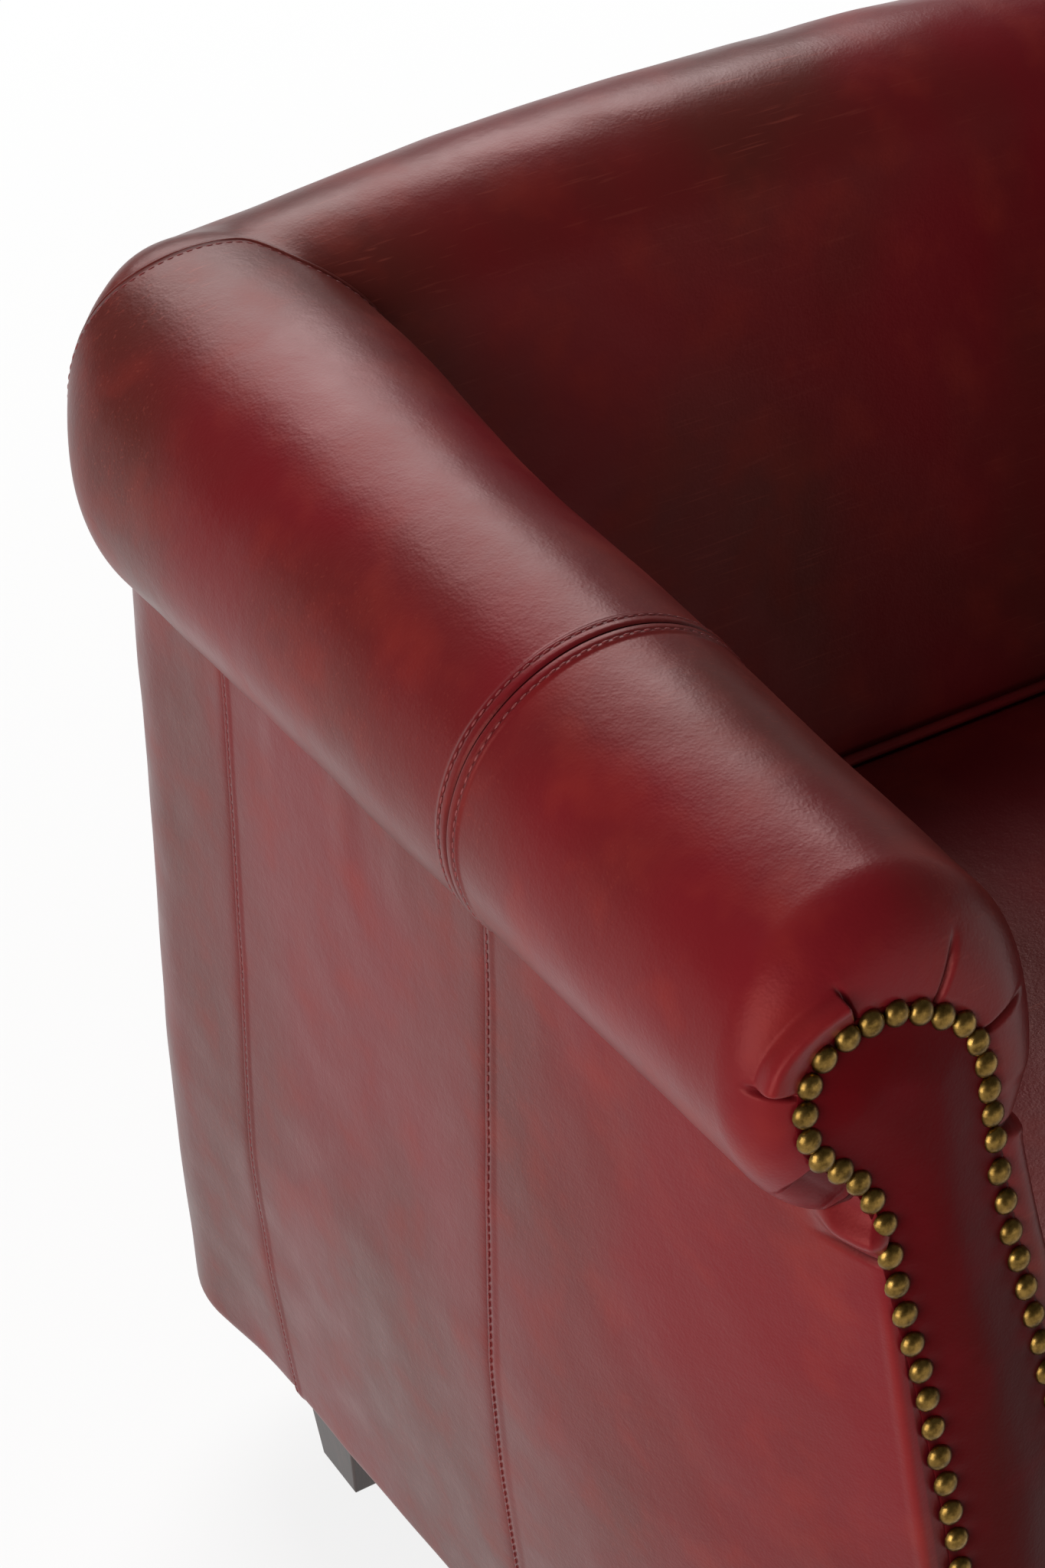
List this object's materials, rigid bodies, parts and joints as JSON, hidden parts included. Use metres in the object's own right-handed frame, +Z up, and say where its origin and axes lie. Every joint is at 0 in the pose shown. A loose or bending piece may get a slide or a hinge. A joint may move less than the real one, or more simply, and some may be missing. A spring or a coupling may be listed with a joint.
{
  "type": "leather armchair",
  "caption": "Low leather club armchair with rolled arms, nailed arm fronts, a rolled back, a loose seat cushion with a zip and short tapered wooden legs.",
  "frame": {"origin": "on the floor, in the middle of the overall box in plan", "axes": "+Z up, the seat faces -Y, +X to the viewer's right when the chair is seen from the front"},
  "size_m": [0.8538, 0.761, 0.761],
  "materials": {
    "leather": "oxblood, antiqued, satin",
    "facing_leather": "dark oxblood, satin",
    "antique_brass": "antiqued, worn high spots",
    "leg_wood": "espresso stain, satin",
    "frame_hardwood": "sawn, unfinished",
    "frame_plywood": "unfinished",
    "foam": "open foam",
    "felt": "pressed felt",
    "webbing": "woven elastic",
    "lining": "thin black cloth",
    "zip_metal": "antiqued",
    "leg_hardware": "zinc plated"
  },
  "bodies": {
    "chair": {"arm_facing_left": "facing_leather", "arm_facing_right": "facing_leather", "arm_front_board_left": "frame_plywood", "arm_front_board_right": "frame_plywood", "arm_pad_left": "foam", "arm_pad_right": "foam", "arm_tack_rail_left": "frame_hardwood", "arm_tack_rail_right": "frame_hardwood", "arm_top_rail_left": "frame_hardwood", "arm_top_rail_right": "frame_hardwood", "back_cover": "leather", "back_lower_rail": "frame_hardwood", "back_pad": "foam", "back_post_left": "frame_hardwood", "back_post_right": "frame_hardwood", "back_top_rail": "frame_hardwood", "back_webbing": "webbing", "corner_blocks": "frame_hardwood", "dust_cover": "lining", "facing_nails_left": "antique_brass", "facing_nails_right": "antique_brass", "front_border_cover": "leather", "front_border_pad": "foam", "front_rail": "frame_hardwood", "inside_arm_board_left": "frame_plywood", "inside_arm_board_right": "frame_plywood", "leg_bolts": "leg_hardware", "leg_front_left": "leg_wood", "leg_front_right": "leg_wood", "leg_plates": "leg_hardware", "leg_rear_left": "leg_wood", "leg_rear_right": "leg_wood", "outside_arm_front_left": "leather", "outside_arm_front_right": "leather", "outside_arm_pad_left": "felt", "outside_arm_pad_right": "felt", "outside_arm_rear_left": "leather", "outside_arm_rear_right": "leather", "outside_back_cover": "leather", "outside_back_pad": "felt", "rear_rail": "frame_hardwood", "roll_cover_front_left": "leather", "roll_cover_front_right": "leather", "roll_cover_rear_left": "leather", "roll_cover_rear_right": "leather", "seat_deck_cover": "leather", "seat_deck_pad": "foam", "seat_webbing": "webbing", "side_rail_left": "frame_hardwood", "side_rail_right": "frame_hardwood"},
    "seat_cushion": {"cushion_border": "leather", "cushion_bottom_cover": "leather", "cushion_core": "foam", "cushion_top_cover": "leather", "cushion_welts": "leather", "cushion_zip_border": "leather", "zip_chain": "zip_metal"},
    "zip_slider": {"zip_slider": "zip_metal"}
  },
  "joints": [
    {"name": "cushion_lift", "type": "slide", "parent": "chair", "child": "seat_cushion", "axis": [0, 0, 1], "range_m": [0, 0.2]},
    {"name": "zip_run", "type": "slide", "parent": "seat_cushion", "child": "zip_slider", "axis": [1, 0, 0], "range_m": [0, 0.36]}
  ]
}
